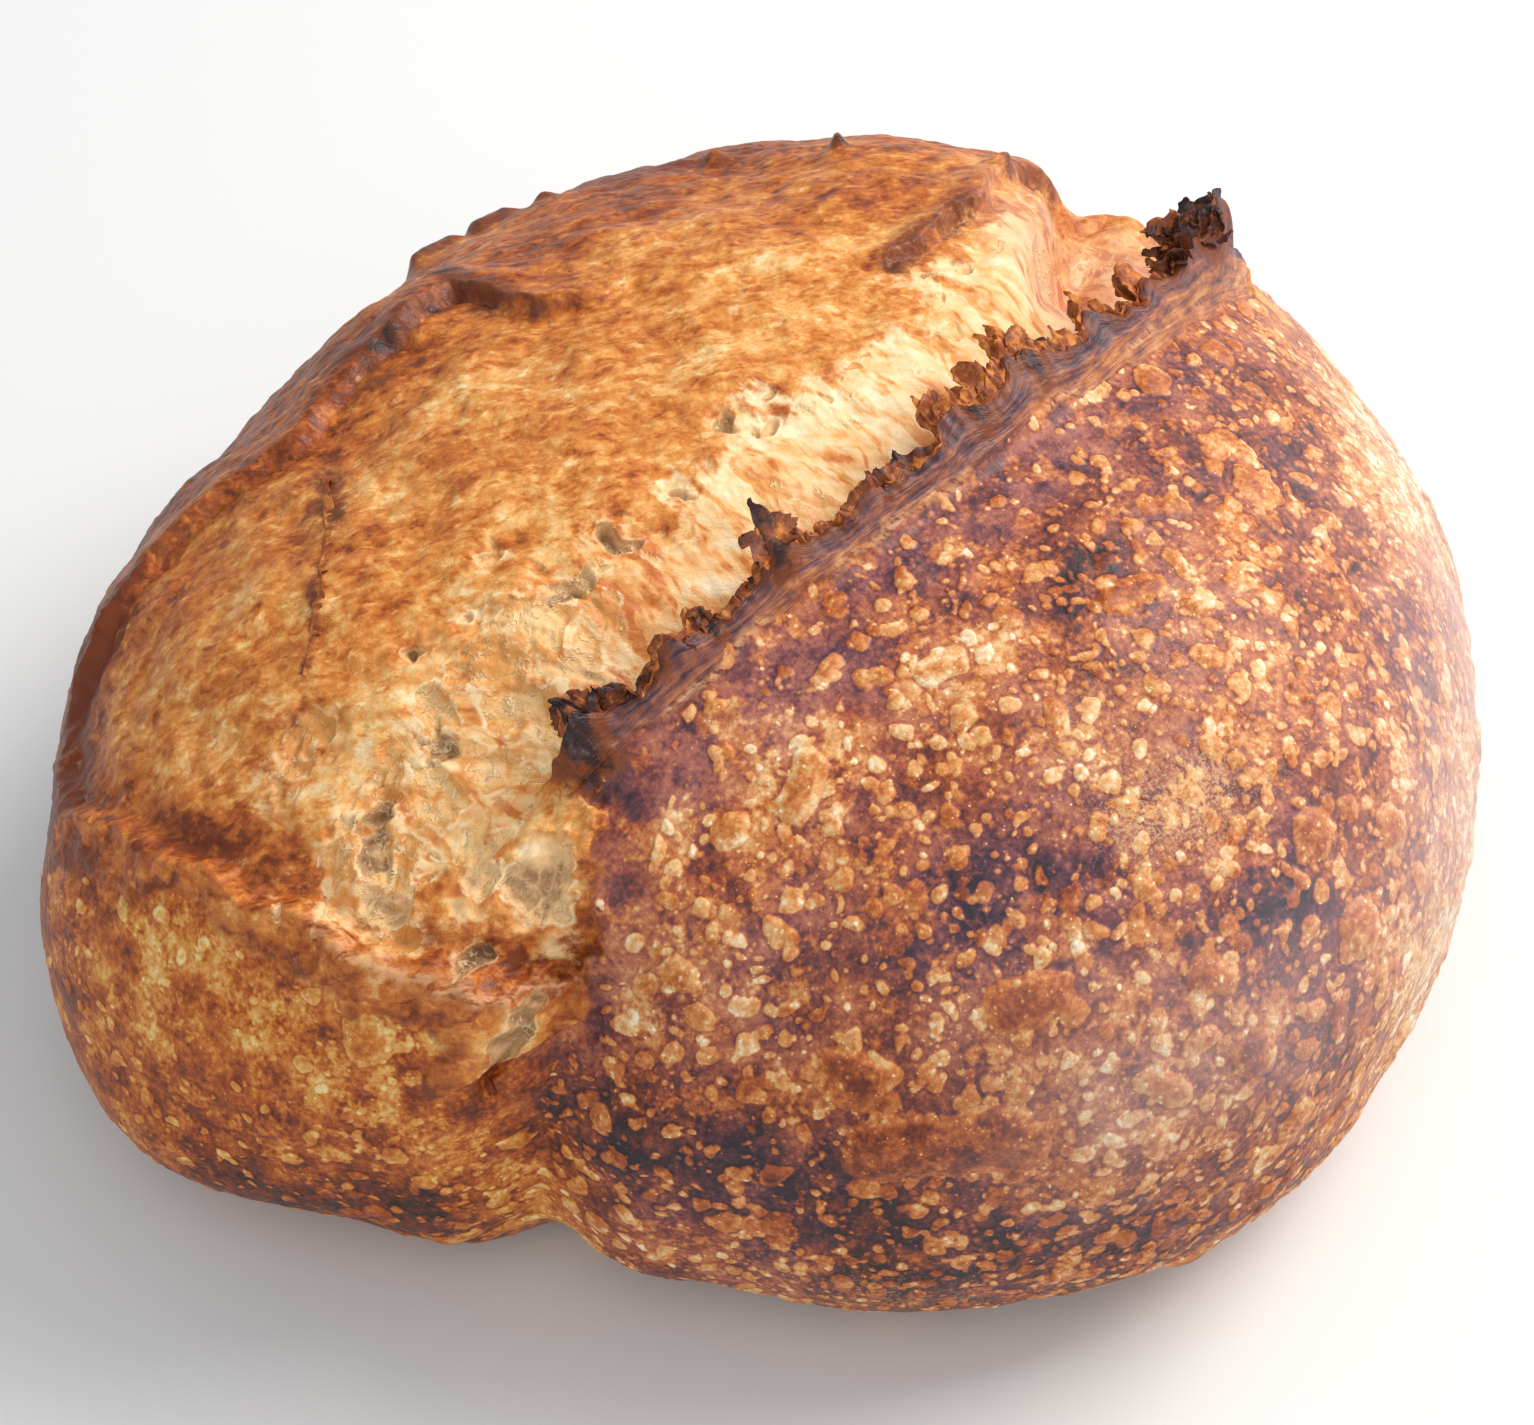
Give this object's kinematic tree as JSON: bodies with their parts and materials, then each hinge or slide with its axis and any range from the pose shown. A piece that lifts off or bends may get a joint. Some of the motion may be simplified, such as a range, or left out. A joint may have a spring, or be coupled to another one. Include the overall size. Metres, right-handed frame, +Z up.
{
  "type": "sourdough loaf",
  "caption": "Uncut round sourdough loaf with one long slash, a raised charred ear, a torn open bloom and a blistered crust, resting on its flat heel.",
  "frame": {"origin": "middle of the loaf's box in plan, at the height of the flat heel that it rests on", "axes": "+Z up; +X along the slash, from the end cap with the furrow to the end with the charred tuft; +Y from the blistered dome over the ear to the torn bloom"},
  "size_m": [0.244, 0.2222, 0.1141],
  "materials": {
    "crust": "baked bread crust, reddish brown with golden blisters, torn pale crumb in the bloom and charred edges; matt to satin"
  },
  "bodies": {
    "root": {"loaf": "crust"}
  },
  "joints": []
}
